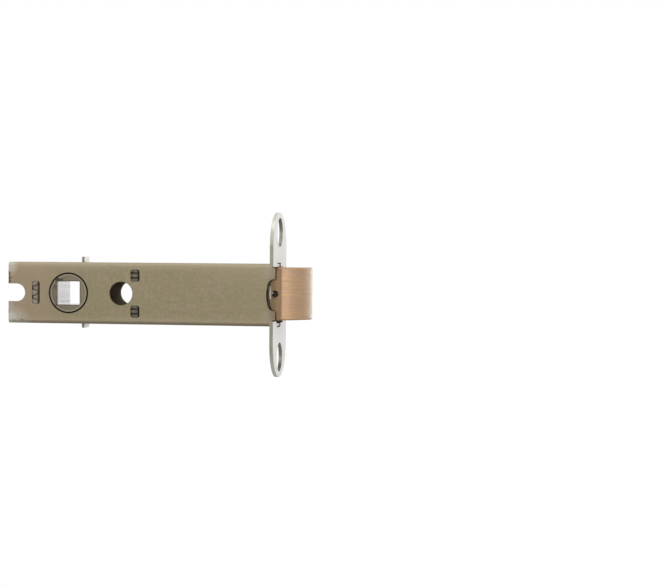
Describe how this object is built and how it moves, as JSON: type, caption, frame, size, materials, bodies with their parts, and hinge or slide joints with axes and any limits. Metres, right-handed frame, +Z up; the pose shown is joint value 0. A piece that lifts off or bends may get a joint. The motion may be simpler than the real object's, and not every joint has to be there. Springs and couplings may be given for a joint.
{
  "type": "tubular door latch",
  "caption": "Tubular mortice door latch with a narrow steel case, oval forend, bevelled brass spring bolt and a follower for a square spindle.",
  "frame": {"origin": "centre of the forend's outer face, midway between its two screw holes", "axes": "+X out of the door's edge, the way the bolt is thrown; +Z up along the forend; +Y through the door's thickness, away from the bolt's bevel"},
  "size_m": [0.1065, 0.024, 0.057],
  "materials": {
    "case_steel": "olive passivated zinc plate, mottled",
    "forend_steel": "bright zinc plate, olive at the cut edge",
    "tenon_steel": "grey passivated, chiselled ends",
    "follower_steel": "olive passivated, turned",
    "yoke_steel": "zinc plate",
    "spring_steel": "oiled wire",
    "carrier_steel": "tumbled",
    "pin_steel": "blackened",
    "bolt_brass": "brushed along the throw, reddish"
  },
  "bodies": {
    "case": {"case_body": "case_steel", "case_cover": "case_steel", "forend": "forend_steel", "rear_spacer": "tenon_steel", "spring_abutment": "tenon_steel", "return_spring": "spring_steel", "return_spring_washer": "yoke_steel"},
    "follower": {"follower": "follower_steel"},
    "retractor": {"retractor_yoke": "yoke_steel", "upper_drive_plate": "yoke_steel", "lower_drive_plate": "yoke_steel", "bolt_spring": "spring_steel", "bolt_spring_washer": "yoke_steel"},
    "bolt": {"bolt_carrier": "carrier_steel", "bolt_head": "bolt_brass", "bolt_pin": "pin_steel", "draw_rod": "carrier_steel", "draw_rod_washer": "yoke_steel", "draw_rod_clip": "spring_steel", "carrier_roll_pin": "spring_steel"}
  },
  "joints": [
    {"name": "follower_turn", "type": "hinge", "parent": "case", "child": "follower", "pos_m": [-0.074, 0, 0], "axis": [0, -1, 0], "range_deg": [0, 70]},
    {"name": "retractor_slide", "type": "slide", "parent": "case", "child": "retractor", "axis": [-1, 0, 0], "range_m": [0, 0.0105], "stiffness_N_per_m": 1500, "springref_m": -0.012, "deforming": ["return_spring"]},
    {"name": "bolt_slide", "type": "slide", "parent": "retractor", "child": "bolt", "axis": [-1, 0, 0], "range_m": [0, 0.0105], "stiffness_N_per_m": 300, "springref_m": -0.01, "deforming": ["bolt_spring"]}
  ],
  "couplings": [
    {"joint": "follower_turn", "follows": "retractor_slide", "rad_per_m": 116.35}
  ]
}
